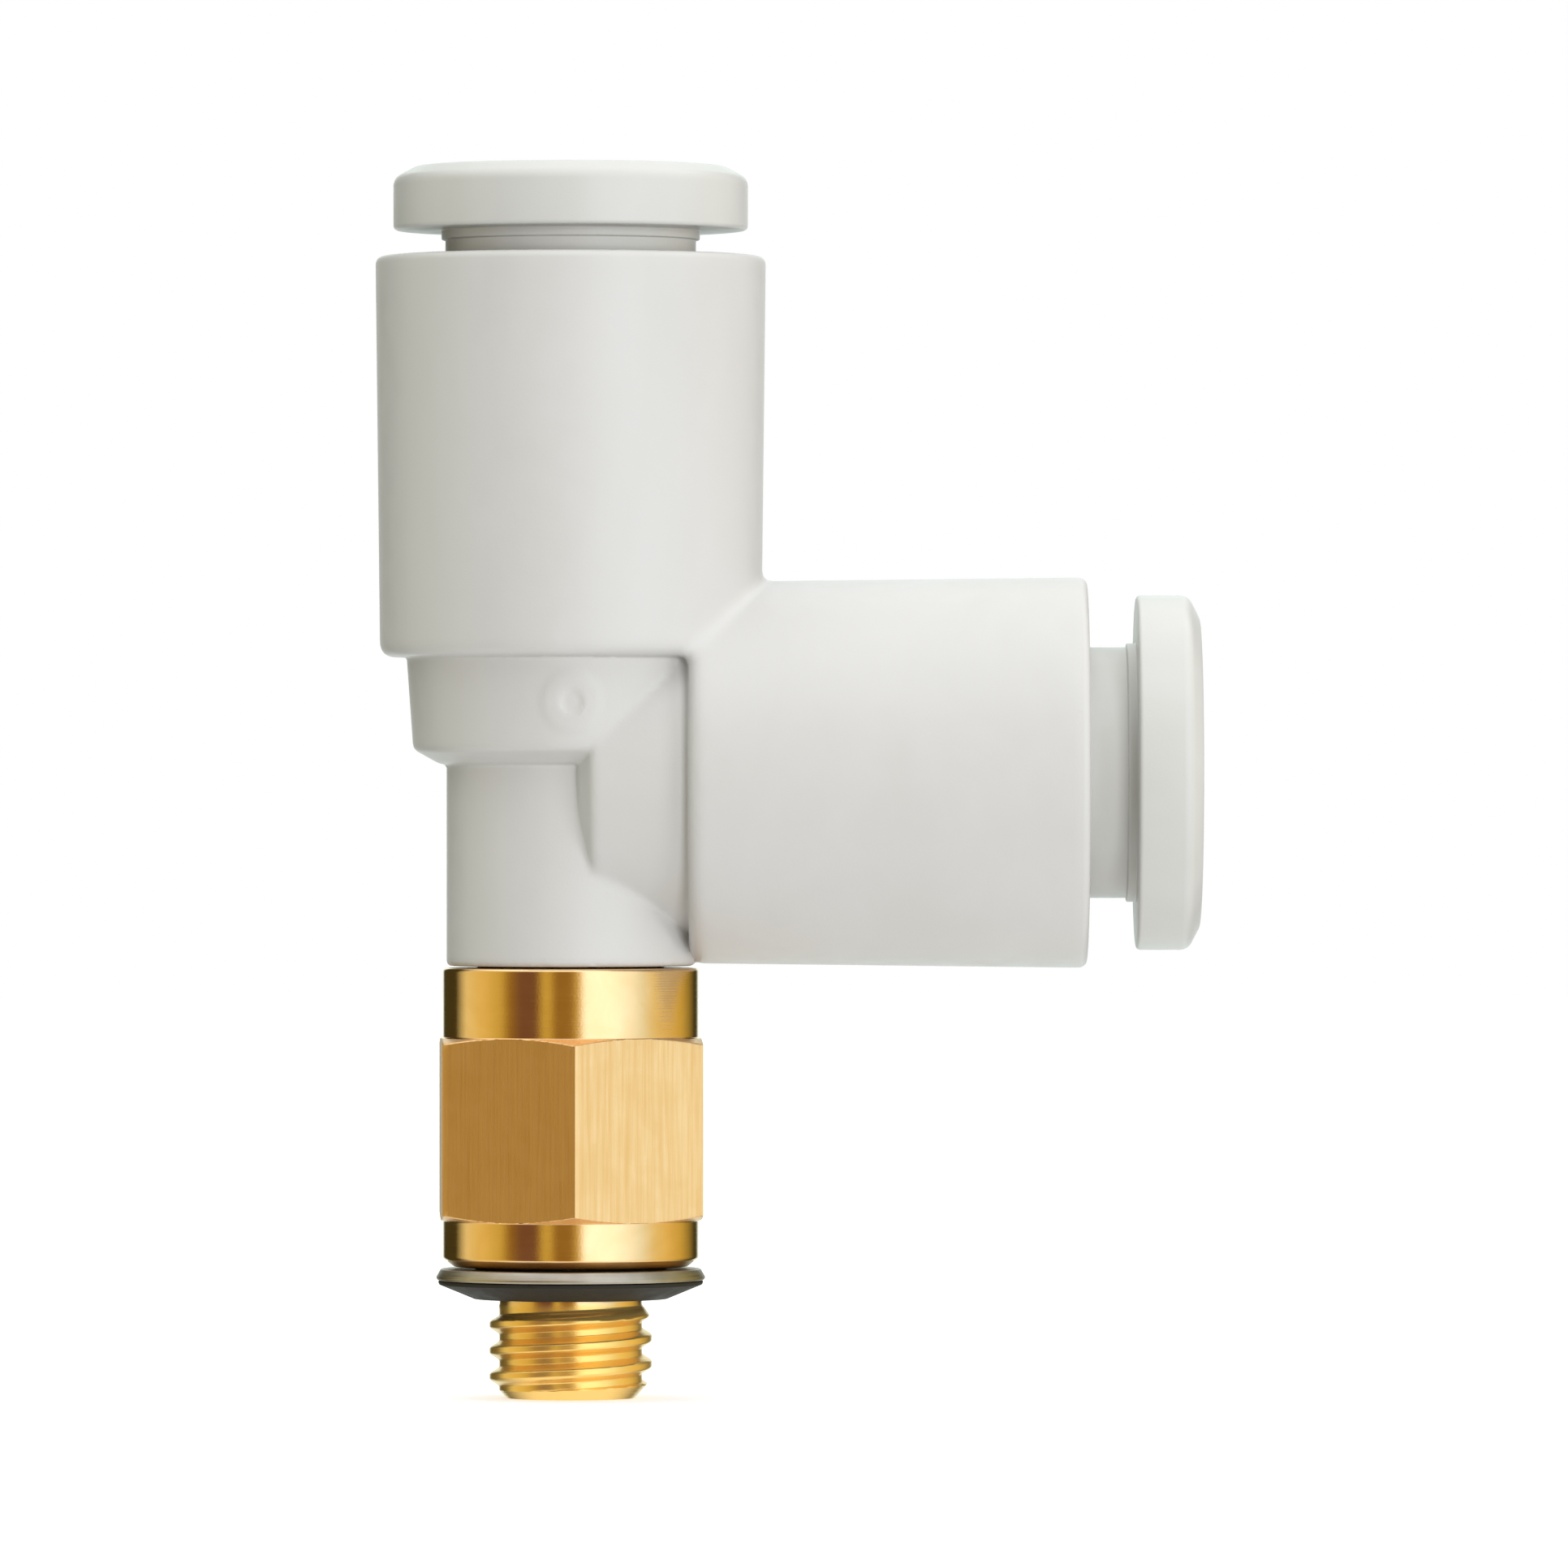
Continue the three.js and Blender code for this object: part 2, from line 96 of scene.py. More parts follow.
# Stud, in the row frame.
THREAD_TOP_Z = -0.15
THREAD_MAJOR_R = 2.5
THREAD_MINOR_R = 2.2
THREAD_END_R = 1.98
THREAD_PITCH = 0.8
THREAD_CREST = 0.09
THREAD_ROOT = 0.4
THREAD_FADE = 0.45
STUD_PASSAGE_R = 1.2
LOWER_COLLAR_Z = 1.0
LOWER_COLLAR_R = 3.95
HEX_LOW_Z = 2.42
HEX_HIGH_Z = 8.05
HEX_ACROSS_FLATS = 8.0
HEX_TURN = math.radians(2.6)
HEX_CHAMFER = 0.2
UPPER_COLLAR_R = 3.95
UPPER_COLLAR_TOP_Z = 10.2
SPIGOT_R = 2.85
CLIP_GROOVE_Z = 11.2
CLIP_GROOVE_HEIGHT = 0.7
RING_GROOVE_Z = 12.5
RING_GROOVE_HEIGHT = 0.8

# Buttons.
BUTTON_FLANGE = 2.0

BODY_FRAME = Matrix.Translation((0, 0, CROSSING_Z * MM))
PORTS = {"run": BODY_FRAME, "branch": BODY_FRAME @ Matrix.Rotation(math.pi / 2, 4, "Y")}
ROW_FRAME = Matrix.Identity(4)


# Meshes ---------------------------------------------------------------------------------------------

def make_object(name, points, faces, place, sharp_degrees=40):
    """An object from points in millimetres in its own frame, smooth but for edges past sharp_degrees."""
    mesh = bpy.data.meshes.new(name)
    mesh.from_pydata((np.asarray(points) * MM).tolist(), [], np.asarray(faces).tolist())
    mesh.validate()
    piece = bpy.data.objects.new(name, mesh)
    bpy.context.scene.collection.objects.link(piece)
    piece.matrix_world = place
    smooth(piece, sharp_degrees)
    return piece


def smooth(piece, sharp_degrees=40):
    piece.data.shade_smooth()
    piece.data.set_sharp_from_angle(angle=math.radians(sharp_degrees))


def filleted(corners, steps=5):
    """The closed outline through [radius, height, fillet] corners, each rounded by an arc of its fillet."""
    outline = []
    for i, (radius, height, fillet) in enumerate(corners):
        here = Vector((radius, height))
        before = Vector(corners[i - 1][:2]) - here
        after = Vector(corners[(i + 1) % len(corners)][:2]) - here
        half = before.angle(after) / 2
        if fillet <= 0 or half > math.radians(88):
            outline.append(tuple(here))
            continue
        reach = min(fillet / math.tan(half), before.length * 0.49, after.length * 0.49)
        centre = here + (before.normalized() + after.normalized()).normalized() * reach / math.cos(half)
        start = here + before.normalized() * reach - centre
        end = here + after.normalized() * reach - centre
        sweep = start.angle_signed(end)
        for step in range(steps + 1):
            turn = Matrix.Rotation(-sweep * step / steps, 2)
            outline.append(tuple(centre + turn @ start))
    return outline


def lathe(name, corners, place, segments=160, steps=5, radius_of=None):
    """A closed piece turned about its +Z from an outline that goes round anticlockwise.
    radius_of(radius, height, angle) may change the radius, as on a hexagon or a thread."""
    outline = np.array(filleted(corners, steps))
    angle = np.arange(segments) * 2 * math.pi / segments
    radius = np.repeat(outline[:, :1], segments, axis=1)
    height = np.repeat(outline[:, 1:], segments, axis=1)
    if radius_of:
        radius = radius_of(radius, height, angle[None, :])
    points = np.stack([radius * np.cos(angle), radius * np.sin(angle), height], axis=-1).reshape(-1, 3)
    count = len(outline)
    i, j = np.meshgrid(np.arange(count), np.arange(segments), indexing="ij")
    i_next, j_next = (i + 1) % count, (j + 1) % segments
    faces = np.stack([i * segments + j, i * segments + j_next,
                      i_next * segments + j_next, i_next * segments + j], axis=-1).reshape(-1, 4)
    return make_object(name, points, faces, place)


def cut_slots(piece, count, width, inner, outer, low, high):
    """Cuts evenly spaced radial slots through a turned piece, each on one side of its axis."""
    cutter = bmesh.new()
    size = Matrix.Diagonal(((outer - inner) * MM, width * MM, (high - low) * MM, 1))
    middle = Matrix.Translation((((inner + outer) / 2) * MM, 0, (low + high) / 2 * MM))
    for i in range(count):
        turn = Matrix.Rotation(2 * math.pi * i / count, 4, "Z")
        bmesh.ops.create_cube(cutter, size=1, matrix=turn @ middle @ size)
    mesh = bpy.data.meshes.new("slots")
    cutter.to_mesh(mesh)
    cutter.free()
    tool = bpy.data.objects.new("slots", mesh)
    bpy.context.scene.collection.objects.link(tool)
    tool.matrix_world = piece.matrix_world
    cut = piece.modifiers.new("slots", "BOOLEAN")
    cut.object = tool
    cut.operation = "DIFFERENCE"
    cut.solver = "EXACT"
    bpy.context.view_layer.update()
    depsgraph = bpy.context.evaluated_depsgraph_get()
    result = bpy.data.meshes.new_from_object(piece.evaluated_get(depsgraph), depsgraph=depsgraph)
    piece.modifiers.clear()
    piece.data = result
    bpy.data.objects.remove(tool)
    smooth(piece)


# Body as a smooth skin round a distance field --------------------------------------------------------

def smooth_min(a, b, width):
    share = np.clip(0.5 + 0.5 * (b - a) / width, 0, 1)
    return b + (a - b) * share - width * share * (1 - share)


def smooth_max(a, b, width):
    return -smooth_min(-a, -b, width)


def shell_distance(radius, along, start):
    """The thick round shell of a port, rounded where it starts and crisp at its mouth."""
    taper = (SHELL_MOUTH_R - SHELL_LOW_R) / (MOUTH - start)
    side = radius - (SHELL_LOW_R + taper * (along - start))
    return smooth_max(smooth_max(side, start - along, 0.5), along - MOUTH, 0.3)


def step_distance(radius, along):
    """The thinner round part behind a shell, with a chamfer at its free end."""
    taper = (STEP_HIGH_R - STEP_LOW_R) / (RUN_SHELL_START - STEP_CHAMFER_END)
    side = radius - (STEP_LOW_R + taper * (along - STEP_CHAMFER_END))
    rise, run = STEP_LOW_R - STEP_START_R, STEP_CHAMFER_END - STEP_START
    chamfer = ((radius - STEP_START_R) * run - (along - STEP_START) * rise) / math.hypot(rise, run)
    end = smooth_max(chamfer, STEP_START - along, 0.08)
    return np.maximum(smooth_max(side, end, 0.16), along - (RUN_SHELL_START + 1.5))


def bore_distance(radius, along, bore_r, low, high):
    return np.maximum(radius - bore_r, np.maximum(low - along, along - high))


def port_bores(radius, along):
    """The hollow of one port, from the air passage out to the mouth."""
    spans = [
        (PASSAGE_R, -0.5, TUBE_STOP + 0.1),
        (TUBE_SOCKET_R, TUBE_STOP, SEAL_BORE_START + 0.1),
        (SEAL_BORE_R, SEAL_BORE_START, GUIDE_BORE_START + 0.1),
        (GUIDE_BORE_R, GUIDE_BORE_START, MOUTH + 1),
    ]
    hollow = bore_distance(radius, along, *spans[0])
    for span in spans[1:]:
        hollow = np.minimum(hollow, bore_distance(radius, along, *span))
    return hollow


def neck_bores(radius, along):
    """The hollow of the neck, from the spigot's bore with its clip groove up to the crossing."""
    groove = CLIP_GROOVE_Z - CROSSING_Z
    spigot = bore_distance(radius, along, NECK_BORE_R, NECK_BOTTOM - 1, NECK_BORE_TOP)
    clip = bore_distance(radius, along, NECK_GROOVE_R, groove, groove + CLIP_GROOVE_HEIGHT)
    passage = bore_distance(radius, along, PASSAGE_R, NECK_BORE_TOP - 0.1, 0.5)
    return np.minimum(np.minimum(spigot, clip), passage)


def gate_mark(x, y, z):
    """How far the round gate pad stands out of the front of the run port's step."""
    off = np.hypot(x - GATE_X, z - GATE_Z)
    pad = np.clip((GATE_PAD_R - off) / GATE_SLOPE, 0, 1)
    dimple = np.clip((GATE_DIMPLE_R - off) / GATE_SLOPE, 0, 1)
    return np.where(y < 0, GATE_PAD_HEIGHT * pad - GATE_DIMPLE_DEPTH * dimple, 0)


def body_distance(x, y, z):
    """Distance from the body's surface, negative inside the resin."""
    run_r, branch_r = np.hypot(x, y), np.hypot(y, z)
    shells = smooth_min(shell_distance(run_r, z, RUN_SHELL_START),
                        shell_distance(branch_r, x, BRANCH_SHELL_START), 0.35)
    steps = smooth_min(step_distance(run_r, z), step_distance(branch_r, x), 0.1)
    neck_end = smooth_max(run_r - NECK_R, NECK_BOTTOM - z, 0.18)
    neck = np.maximum(neck_end, z - 1.5)
    outside = smooth_min(smooth_min(shells, steps, 0.1), neck, 0.12) - gate_mark(x, y, z)
    inside = np.minimum(np.minimum(port_bores(run_r, z), port_bores(branch_r, x)), neck_bores(run_r, z))
    return smooth_max(outside, -inside, 0.08)


def graded(*spans):
    """Grid lines through spans of (start, end, spacing), each span starting where the last one ends."""
    lines = [spans[0][0]]
    for start, end, spacing in spans:
        count = max(1, round((end - start) / spacing))
        lines.extend(start + (end - start) * (i + 1) / count for i in range(count))
    return np.array(lines)


def near(places, spacing, reach):
    """Spans for graded, close together on both sides of each place and at spacing between the places."""
    spans = []
    for i, place in enumerate(places):
        spans.append((place - reach, place + reach, reach / 2))
        if i + 1 < len(places):
            spans.append((place + reach, places[i + 1] - reach, spacing))
    return spans


def skin(distance, lines):
    """Closed quad mesh where distance is zero, one point to each grid cell that the surface crosses."""
    corners = np.meshgrid(*lines, indexing="ij")
    field = distance(*corners)
    cells = tuple(n - 1 for n in field.shape)
    total, hits = np.zeros(cells + (3,)), np.zeros(cells)
    quads = []
    crossed_edges = []
    for axis in range(3):
        low = [slice(None)] * 3
        high = [slice(None)] * 3
        low[axis], high[axis] = slice(None, -1), slice(1, None)
        a, b = field[tuple(low)], field[tuple(high)]
        crossed = (a < 0) != (b < 0)
        share = np.where(crossed, a / np.where(crossed, a - b, 1), 0)
        place = np.stack([c[tuple(low)] + share * (c[tuple(high)] - c[tuple(low)]) for c in corners], -1)
        place *= crossed[..., None]
        second, third = (axis + 1) % 3, (axis + 2) % 3
        for shift_second in (0, 1):
            for shift_third in (0, 1):
                part = [slice(None)] * 3
                part[second] = slice(shift_second, cells[second] + shift_second)
                part[third] = slice(shift_third, cells[third] + shift_third)
                total += place[tuple(part)]
                hits += crossed[tuple(part)]
        crossed_edges.append((axis, second, third, crossed, a < 0))
    index = np.full(cells, -1)
    used = hits > 0
    index[used] = np.arange(used.sum())
    points = total[used] / hits[used][:, None]
    for axis, second, third, crossed, outward in crossed_edges:
        at = np.argwhere(crossed)
        around = []
        for shift_second, shift_third in ((1, 1), (0, 1), (0, 0), (1, 0)):
            cell = at.copy()
            cell[:, second] -= shift_second
            cell[:, third] -= shift_third
            around.append(index[tuple(cell.T)])
        quad = np.stack(around, -1)
        facing = outward[tuple(at.T)]
        quads.append(np.where(facing[:, None], quad, quad[:, ::-1]))
    return settle(distance, points), np.concatenate(quads)


def settle(distance, points, rounds=6, nudge=1e-4):
    """Moves points straight onto the surface where distance is zero."""
    for _ in range(rounds):
        gradient = np.stack([
            distance(*(points + step).T) - distance(*(points - step).T)
            for step in np.eye(3) * nudge
        ], -1) / (2 * nudge)
        length = np.maximum((gradient ** 2).sum(-1, keepdims=True), 0.1)
        move = -distance(*points.T)[:, None] * gradient / length
        points = points + np.clip(move, -0.05, 0.05)
    return points


def make_body():
    """The moulding, skinned on a grid whose lines lie closest where the surface has an edge or a seam."""
    edge = SHELL_MOUTH_R + 0.3
    fine = 0.15
    outward = near([SEAL_BORE_START, GUIDE_BORE_START, MOUTH - 0.15], 0.5, 0.12)
    along_port = [
        (-edge, 0.1, fine),
        (0.1, STEP_CHAMFER_END + 0.1, 0.08),
        (STEP_CHAMFER_END + 0.1, RUN_SHELL_START - 0.2, fine),
        (RUN_SHELL_START - 0.2, BRANCH_SHELL_START + 0.2, 0.07),
        (BRANCH_SHELL_START + 0.2, edge, fine),
        (edge, outward[0][0], 0.2),
        *outward,
        (MOUTH - 0.03, MOUTH + 0.17, 0.05),
    ]
    across = [(-edge, edge, fine)]
    lines = [graded(*along_port), graded(*across), graded(*along_port)]
    points, faces = skin(body_distance, lines)
    return make_object("body_moulding", points, faces, BODY_FRAME, sharp_degrees=50)


# Turned and moulded pieces --------------------------------------------------------------------------

def hexagon_radius(angle):
    """Radius of the hexagon's flats at an angle, for a corner that points at -Y before HEX_TURN."""
    sixth = math.pi / 3
    from_flat = (angle - HEX_TURN + sixth / 2) % sixth - sixth / 2
    return HEX_ACROSS_FLATS / 2 / np.cos(from_flat)


def thread_ridge(height, angle):
    """From 0 at the root to 1 at the crest of a right-handed thread that fades out towards its top.
    THREAD_CREST and THREAD_ROOT are shares of the pitch, counted from the middle of the crest."""
    phase = (height / THREAD_PITCH - angle / (2 * math.pi)) % 1
    from_crest = np.abs(phase - 0.5)
    ridge = np.clip((THREAD_ROOT - from_crest) / (THREAD_ROOT - THREAD_CREST), 0, 1)
    rounded = ridge * ridge * (3 - 2 * ridge)
    ridge = ridge + 0.7 * (rounded - ridge)
    return ridge * np.clip((THREAD_TOP_Z - height) / THREAD_FADE, 0, 1)


def stud_radius(radius, height, angle):
    """Cuts the hexagon's flats and the thread's ridge into the round outline."""
    on_hex = (height > HEX_LOW_Z + 1e-4) & (height < HEX_HIGH_Z - 1e-4) & (radius > LOWER_COLLAR_R)
    hexed = smooth_min(radius, hexagon_radius(angle), 0.05)
    outside = radius > (STUD_PASSAGE_R + THREAD_END_R) / 2
    on_thread = (height < THREAD_TOP_Z) & (height > THREAD_END_Z) & outside
    depth = THREAD_MAJOR_R - THREAD_MINOR_R
    lead_in = THREAD_END_R + 0.9 * (height - THREAD_END_Z)
    threaded = np.minimum(THREAD_MINOR_R + depth * thread_ridge(height, angle), lead_in)
    return np.where(on_hex, hexed, np.where(on_thread, threaded, radius))


def make_stud():
    """Thread, lower collar, hexagon, upper collar and the spigot inside the neck, turned in one piece."""
    flat_r = HEX_ACROSS_FLATS / 2 + 0.02
    corner_rise = HEX_ACROSS_FLATS / 2 / math.cos(math.pi / 6) - HEX_ACROSS_FLATS / 2
    chamfer = [(flat_r + corner_rise * share, HEX_CHAMFER * share) for share in np.linspace(0.05, 1, 10)]
    thread_levels = np.linspace(THREAD_END_Z + 0.001, THREAD_TOP_Z, 96)
    hex_levels = np.linspace(HEX_LOW_Z + 0.4, HEX_HIGH_Z - 0.4, 12)
    corners = [
        (STUD_PASSAGE_R, THREAD_END_Z, 0.12),
        (THREAD_END_R, THREAD_END_Z, 0),
        *((THREAD_MINOR_R, z, 0) for z in thread_levels),
        (THREAD_MINOR_R, LOWER_COLLAR_Z, 0.1),
        (LOWER_COLLAR_R - 0.35, LOWER_COLLAR_Z, 0.08),
        (LOWER_COLLAR_R, LOWER_COLLAR_Z + 0.25, 0.15),
        (LOWER_COLLAR_R, HEX_LOW_Z, 0.06),
        (flat_r, HEX_LOW_Z, 0),
        *((radius, HEX_LOW_Z + rise, 0) for radius, rise in chamfer),
        *((flat_r + corner_rise + 0.03, z, 0) for z in hex_levels),
        *((radius, HEX_HIGH_Z - rise, 0) for radius, rise in reversed(chamfer)),
        (flat_r, HEX_HIGH_Z, 0),
        (UPPER_COLLAR_R, HEX_HIGH_Z, 0.06),
        (UPPER_COLLAR_R, UPPER_COLLAR_TOP_Z, 0.12),
        (SPIGOT_R, UPPER_COLLAR_TOP_Z, 0.05),
        (SPIGOT_R, CLIP_GROOVE_Z, 0.03),
        (SPIGOT_R - 0.5, CLIP_GROOVE_Z, 0.05),
        (SPIGOT_R - 0.5, CLIP_GROOVE_Z + CLIP_GROOVE_HEIGHT, 0.05),
        (SPIGOT_R, CLIP_GROOVE_Z + CLIP_GROOVE_HEIGHT, 0.03),
        (SPIGOT_R, RING_GROOVE_Z, 0.04),
        (SPIGOT_R - 0.7, RING_GROOVE_Z, 0.08),
        (SPIGOT_R - 0.7, RING_GROOVE_Z + RING_GROOVE_HEIGHT, 0.08),
        (SPIGOT_R, RING_GROOVE_Z + RING_GROOVE_HEIGHT, 0.04),
        (SPIGOT_R, SPIGOT_TOP_Z, 0.2),
        (STUD_PASSAGE_R, SPIGOT_TOP_Z, 0.1),
    ]
    return lathe("stud_turning", corners, ROW_FRAME, segments=288, steps=4, radius_of=stud_radius)


def make_clip():
    """The open wire ring in the spigot's groove."""
    low = CLIP_GROOVE_Z + 0.1
    corners = [(2.45, low, 0.08), (3.15, low, 0.08), (3.15, low + 0.5, 0.08), (2.45, low + 0.5, 0.08)]
    clip = lathe("retaining_clip", corners, ROW_FRAME, segments=96, steps=3)
    cut_slots(clip, 1, 1.6, 1, 4.5, low - 1, low + 2)
    return clip


def make_o_ring():
    middle = RING_GROOVE_Z + RING_GROOVE_HEIGHT / 2
    half = 0.36
    inner, outer = 2.54 - half, 2.54 + half
    corners = [
        (inner, middle - half, half),
        (outer, middle - half, half),
        (outer, middle + half, half),
        (inner, middle + half, half),
    ]
    return lathe("stud_seal_ring", corners, ROW_FRAME, segments=96)


def make_gasket_washer():
    corners = [
        (3.0, 0.58, 0.02),
        (4.1, 0.58, 0.03),
        (4.15, 0.66, 0.05),
        (4.0, 0.93, 0.08),
        (3.0, 0.93, 0.03),
    ]
    return lathe("gasket_ring", corners, ROW_FRAME, segments=160, steps=4)


def make_gasket_seal():
    corners = [
        (2.65, 0.0, 0.08),
        (2.98, 0.0, 0.1),
        (4.05, 0.44, 0.05),
        (4.1, 0.56, 0.04),
        (2.95, 0.56, 0.02),
        (2.95, 0.97, 0.08),
        (2.65, 0.97, 0.08),
    ]
    return lathe("gasket_rubber", corners, ROW_FRAME, segments=160, steps=4)


def make_tube_seal(label, place):
    corners = [
        (4.28, 7.0, 0.08),
        (4.28, 8.7, 0.12),
        (3.12, 8.7, 0.15),
        (3.1, 8.2, 0.1),
        (2.95, 7.35, 0.12),
        (3.15, 7.02, 0.08),
        (3.45, 7.75, 0.12),
        (3.75, 7.75, 0.12),
        (3.95, 7.0, 0.08),
    ]
    return lathe(f"{label}_lip_seal", corners, place, segments=128)


def make_spacer(label, place):
    corners = [(3.15, 8.78, 0.06), (4.28, 8.78, 0.06), (4.28, 9.2, 0.06), (3.15, 9.2, 0.06)]
    return lathe(f"{label}_backup_ring", corners, place, segments=128, steps=3)


def make_chuck(label, place):
    corners = [
        (4.4, 9.97, 0.1),
        (4.98, 9.97, 0.03),
        (4.98, 10.17, 0.03),
        (4.3, 10.17, 0.15),
        (2.97, 9.42, 0.01),
        (3.05, 9.29, 0.03),
    ]
    chuck = lathe(f"{label}_toothed_ring", corners, place, segments=160, steps=3)
    cut_slots(chuck, 10, 0.5, 2, 4.15, 8, 11)
    return chuck


def make_collet(label, place):
    corners = [
        (4.45, 10.25, 0.04),
        (4.98, 10.25, 0.08),
        (4.98, 11.25, 0.08),
        (3.98, 11.25, 0.15),
        (3.98, 10.5, 0.08),
        (4.45, 10.5, 0.04),
    ]
    collet = lathe(f"{label}_slotted_ring", corners, place, segments=160, steps=3)
    cut_slots(collet, 8, 0.4, 3, 4.6, 9, 12)
    return collet


def make_guide_ring(label, place):
    corners = [
        (4.45, GUIDE_START, 0.05),
        (GUIDE_OUTER_R, GUIDE_START, 0.06),
        (GUIDE_OUTER_R, GUIDE_END, 0.12),
        (4.2, GUIDE_END, 0.06),
        (3.95, GUIDE_END - 0.35, 0.1),
        (3.95, 13.3, 0.03),
        (4.45, 13.3, 0.05),
    ]
    return lathe(f"{label}_mouth_ring", corners, place)


def make_button(label, place):
    """Push ring, measured from the inner face of its flange."""
    node_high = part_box(f"{label}_release_button")[1] / MM
    outer_face = node_high.z - CROSSING_Z if label == "run" else node_high.x
    base = outer_face - BUTTON_FLANGE
    outline = [
        (3.15, -6.15, 0.06),
        (3.45, -6.15, 0.1),
        (3.86, -5.6, 0.1),
        (3.86, -4.6, 0.03),
        (4.35, -4.45, 0.05),
        (4.35, -4.15, 0.04),
        (3.86, -4.15, 0.05),
        (3.86, -0.3, 0.04),
        (3.98, -0.3, 0.05),
        (3.98, 0.0, 0.05),
        (5.46, 0.0, 0.14),
        (5.46, 1.6, 0.4),
        (4.75, BUTTON_FLANGE - 0.03, 0.5),
        (3.72, BUTTON_FLANGE, 0.2),
        (3.15, 1.45, 0.3),
    ]
    corners = [(radius, base + offset, fillet) for radius, offset, fillet in outline]
    button = lathe(f"{label}_push_ring", corners, place, segments=192, steps=6)
    cut_slots(button, 4, 0.5, 2.5, 4.9, base - 7, base - 2.6)
    return button


# Materials ------------------------------------------------------------------------------------------

class Nodes:
    """Short calls that add nodes to a tree and join them."""

    def __init__(self, tree):
        self.tree = tree

    def add(self, kind, **settings):
        node = self.tree.nodes.new("ShaderNode" + kind)
        for name, value in settings.items():
            setattr(node, name, value)
        return node

    def put(self, value, socket):
        if isinstance(value, bpy.types.NodeSocket):
            self.tree.links.new(value, socket)
        else:
            socket.default_value = value

    def math(self, operation, *values):
        node = self.add("Math", operation=operation)
        for value, socket in zip(values, node.inputs):
            self.put(value, socket)
        return node.outputs[0]

    def split(self, vector):
        node = self.add("SeparateXYZ")
        self.put(vector, node.inputs[0])
        return node.outputs

    def between(self, value, low, high, start=0.3, end=0.7):
        """Maps value from start..end to low..high, and keeps it there past them."""
        node = self.add("MapRange", clamp=True)
        for part, socket in zip((value, start, end, low, high), node.inputs):
            self.put(part, socket)
        return node.outputs[0]

    def mix(self, share, first, second):
        node = self.add("Mix", data_type="FLOAT")
        for value, index in ((share, 0), (first, 2), (second, 3)):
            self.put(value, node.inputs[index])
        return node.outputs[0]

    def blend(self, share, first, second):
        node = self.add("Mix", data_type="RGBA")
        self.put(share, node.inputs["Factor"])
        for colour, socket in zip((first, second), (node.inputs[6], node.inputs[7])):
            self.put(colour if isinstance(colour, bpy.types.NodeSocket) else (*colour, 1), socket)
        return node.outputs[2]


class Shader(Nodes):
    """A material on one Principled shader, with textures laid out in millimetres on the piece."""

    def __init__(self, name):
        self.material = bpy.data.materials.new(name)
        self.material.use_nodes = True
        super().__init__(self.material.node_tree)
        self.tree.nodes.clear()
        self.surface = self.add("BsdfPrincipled")
        self.put(self.surface.outputs[0], self.add("OutputMaterial").inputs["Surface"])
        self.place = self.scaled(self.add("TexCoord").outputs["Object"], (1 / MM, 1 / MM, 1 / MM))
        self.x, self.y, self.z = self.split(self.place)

    def scaled(self, vector, scale):
        node = self.add("VectorMath", operation="MULTIPLY")
        self.put(vector, node.inputs[0])
        self.put(scale, node.inputs[1])
        return node.outputs[0]

    def set(self, **values):
        for name, value in values.items():
            self.put(value, self.surface.inputs[name.replace("_", " ")])

    def noise(self, scale, detail=3, stretch=(1, 1, 1), distortion=0):
        node = self.add("TexNoise")
        self.put(self.scaled(self.place, stretch), node.inputs["Vector"])
        self.put(scale, node.inputs["Scale"])
        self.put(detail, node.inputs["Detail"])
        self.put(distortion, node.inputs["Distortion"])
        return node.outputs["Fac"]

    def bump(self, height, depth, below=None):
        """A bump depth millimetres high, over another bump if below is given."""
        node = self.add("Bump")
        self.put(depth * MM, node.inputs["Distance"])
        self.put(height, node.inputs["Height"])
        if below:
            self.put(below, node.inputs["Normal"])
        return node.outputs[0]


BRASS = (0.86, 0.60, 0.34)
BRASS_DEEP = (0.74, 0.47, 0.20)
# The next colour is a lighter, warmer brass painted on the thread as painted light.
BRASS_THREAD_PAINTED_LIGHT = (0.92, 0.61, 0.16)


def linear(red, green, blue):
    """Linear colour from 0 to 255 display values."""
    return tuple(((c / 255 + 0.055) / 1.055) ** 2.4 for c in (red, green, blue))


def moulded_resin(name, light, dark, roughness, parting=False):
    """Satin moulded plastic: faint flow marks, a fine mould grain and, if asked, a parting line at y = 0."""
    shader = Shader(name)
    flow = shader.noise(0.3, 3, (1, 1, 0.4), 0.4)
    colour = shader.blend(shader.between(flow, 0, 1), dark, light)
    grain = shader.bump(shader.noise(11, 2), 0.003)
    normal = shader.bump(shader.noise(0.8, 2), 0.012, grain)
    if parting:
        line = shader.between(shader.math("ABSOLUTE", shader.y), 1, 0, 0.02, 0.07)
        normal = shader.bump(line, 0.012, normal)
    shader.set(Base_Color=colour, IOR=1.48, Normal=normal,
               Roughness=shader.between(shader.noise(1.4, 3), roughness - 0.04, roughness + 0.06))
    return shader.material


